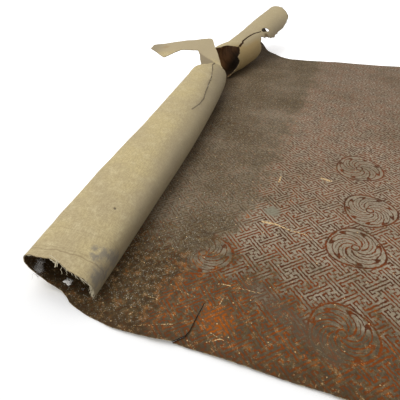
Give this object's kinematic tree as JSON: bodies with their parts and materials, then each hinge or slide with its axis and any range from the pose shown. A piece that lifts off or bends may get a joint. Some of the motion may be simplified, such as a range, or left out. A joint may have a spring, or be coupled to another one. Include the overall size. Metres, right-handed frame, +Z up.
{
  "type": "paper scroll",
  "caption": "Sheet of embossed, lacquered paper with a worn fret and roundel print, lying flat with its end curled back into an open, torn roll.",
  "frame": {"origin": "on the table, under the middle of the sheet's flat part", "axes": "+Z up from the table, +Y across the sheet from its near edge to its far edge, +X along the flat part away from the roll"},
  "size_m": [0.3694, 0.5788, 0.0601],
  "materials": {
    "embossed_paper": "dull lacquered print on the dark face, bare tan paper on the back"
  },
  "bodies": {
    "root": {"sheet": "embossed_paper"}
  },
  "joints": []
}
